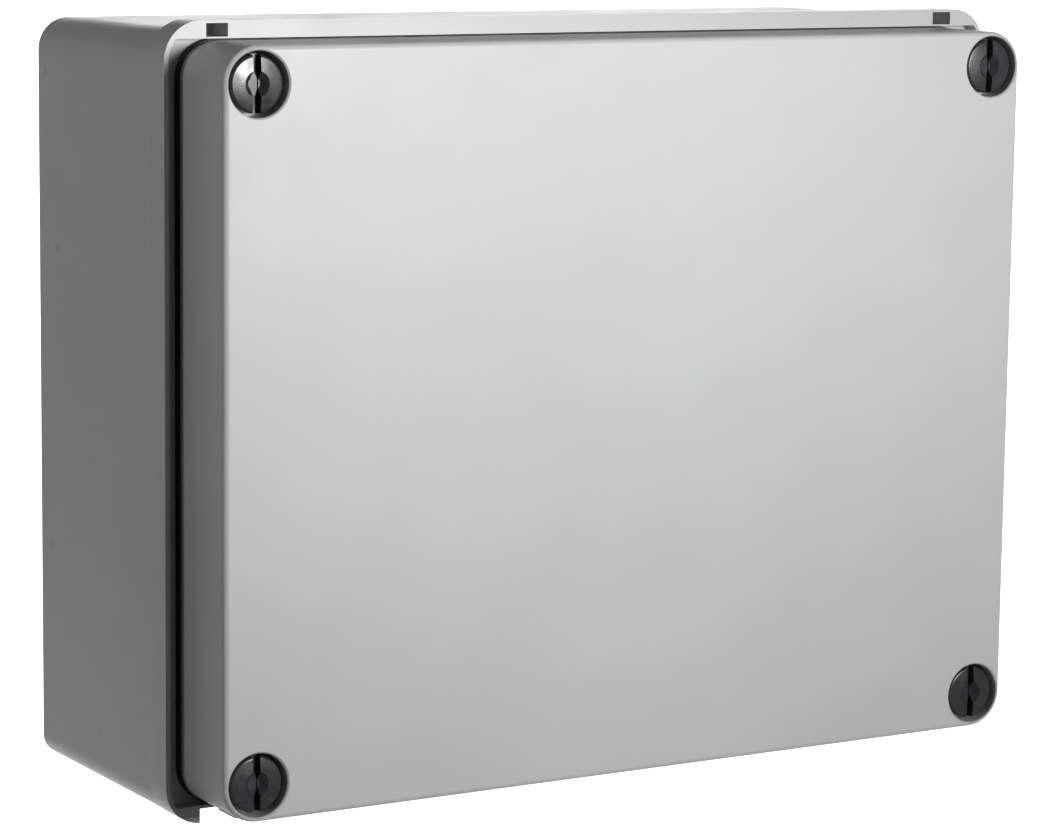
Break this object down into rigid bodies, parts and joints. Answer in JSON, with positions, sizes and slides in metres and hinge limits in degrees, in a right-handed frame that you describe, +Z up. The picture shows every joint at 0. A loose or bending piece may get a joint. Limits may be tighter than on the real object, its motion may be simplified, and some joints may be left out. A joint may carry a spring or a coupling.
{
  "type": "electrical junction box",
  "caption": "Rectangular surface-mounted plastic junction box with a deep base, a guttered rim, a skirted lift-off lid on quarter-turn screws, and a terminal strip on a rail inside.",
  "frame": {"origin": "centre of the four wall-fixing holes on the back face, in the plane of the wall", "axes": "+Y into the wall, so the lid faces -Y; +X to the right seen from the front; +Z up"},
  "size_m": [0.252, 0.109, 0.204],
  "materials": {
    "housing": "moulded light grey thermoplastic, fine grain",
    "lid": "moulded light grey thermoplastic, satin",
    "cap_grey": "moulded mid grey thermoplastic",
    "lid_screw": "dark grey moulded plastic, satin gloss",
    "seal": "black elastomer",
    "nylon": "natural nylon",
    "brass": "turned",
    "rail_zinc": "zinc plated, passivated",
    "screw_zinc": "zinc plated",
    "terminal_grey": "moulded polyamide",
    "terminal_earth": "moulded polyamide, green and yellow",
    "copper": "tinned copper",
    "spring_steel": "stainless",
    "marker": "white moulded",
    "end_stop": "moulded polyamide"
  },
  "bodies": {
    "base": {"base_shell": "housing", "wall_fixing_caps": "cap_grey", "brass_inserts": "brass", "lid_gasket": "seal", "din_rail": "rail_zinc", "rail_screws": "screw_zinc", "terminal_1": "terminal_grey", "terminal_2": "terminal_grey", "terminal_3": "terminal_grey", "terminal_4": "terminal_grey", "terminal_5": "terminal_grey", "terminal_6": "terminal_grey", "terminal_7": "terminal_grey", "terminal_8": "terminal_grey", "earth_terminal": "terminal_earth", "terminal_end_plate": "terminal_grey", "current_bars": "copper", "clamp_springs": "spring_steel", "marker_tags": "marker", "end_stop_left": "end_stop", "end_stop_right": "end_stop"},
    "lid": {"lid_shell": "lid", "screw_seals": "seal", "screw_retainers": "nylon"},
    "lid_screw_top_left": {"lid_screw_top_left": "lid_screw"},
    "lid_screw_top_right": {"lid_screw_top_right": "lid_screw"},
    "lid_screw_bottom_left": {"lid_screw_bottom_left": "lid_screw"},
    "lid_screw_bottom_right": {"lid_screw_bottom_right": "lid_screw"}
  },
  "joints": [
    {"name": "lid_lift", "type": "slide", "parent": "base", "child": "lid", "axis": [0, -1, 0], "range_m": [0, 0.08]},
    {"name": "turn_top_left", "type": "hinge", "parent": "lid", "child": "lid_screw_top_left", "pos_m": [-0.1115, -0.105, 0.0875], "axis": [0, -1, 0], "range_deg": [0, 90]},
    {"name": "turn_top_right", "type": "hinge", "parent": "lid", "child": "lid_screw_top_right", "pos_m": [0.1115, -0.105, 0.0875], "axis": [0, -1, 0], "range_deg": [0, 90]},
    {"name": "turn_bottom_left", "type": "hinge", "parent": "lid", "child": "lid_screw_bottom_left", "pos_m": [-0.1115, -0.105, -0.0875], "axis": [0, -1, 0], "range_deg": [0, 90]},
    {"name": "turn_bottom_right", "type": "hinge", "parent": "lid", "child": "lid_screw_bottom_right", "pos_m": [0.1115, -0.105, -0.0875], "axis": [0, -1, 0], "range_deg": [0, 90]}
  ]
}
